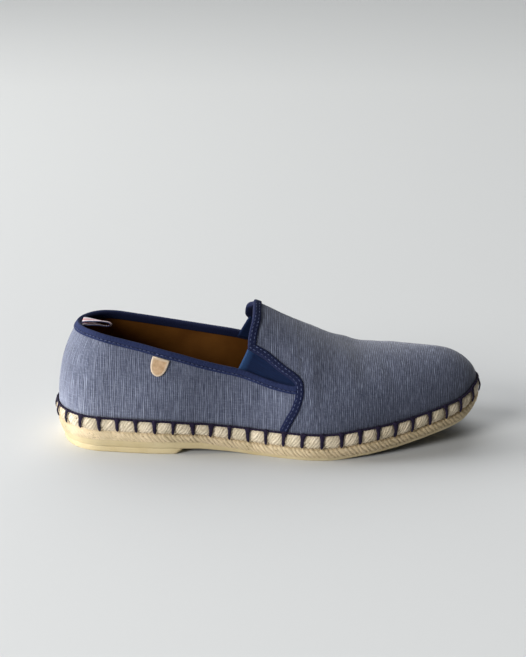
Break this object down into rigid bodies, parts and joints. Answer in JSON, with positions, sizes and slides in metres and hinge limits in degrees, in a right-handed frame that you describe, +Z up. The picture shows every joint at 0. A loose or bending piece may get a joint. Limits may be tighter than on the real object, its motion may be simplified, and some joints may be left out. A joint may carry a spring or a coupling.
{
  "type": "espadrille",
  "caption": "Slip-on canvas espadrille for the right foot with a stitched jute sole, thin rubber outsole, elastic side gores and bound collar.",
  "frame": {"origin": "under the middle of the whole shoe, on the floor", "axes": "+X from heel to toe, +Y towards the inner side of the foot, +Z up"},
  "size_m": [0.2958, 0.1086, 0.0951],
  "materials": {
    "canvas": "matte",
    "binding": "matte",
    "elastic": "matte",
    "jute": "matte",
    "rubber": "matte",
    "leather": "satin",
    "tag_leather": "matte",
    "yarn": "matte",
    "tape": "matte"
  },
  "bodies": {
    "root": {"outsole": "rubber", "jute_sole": "jute", "insole": "leather", "upper": "canvas", "gore_lateral": "elastic", "gore_medial": "elastic", "collar_binding": "binding", "vamp_binding": "binding", "blanket_stitch": "yarn", "pull_loop": "tape", "side_tag": "tag_leather"}
  },
  "joints": []
}
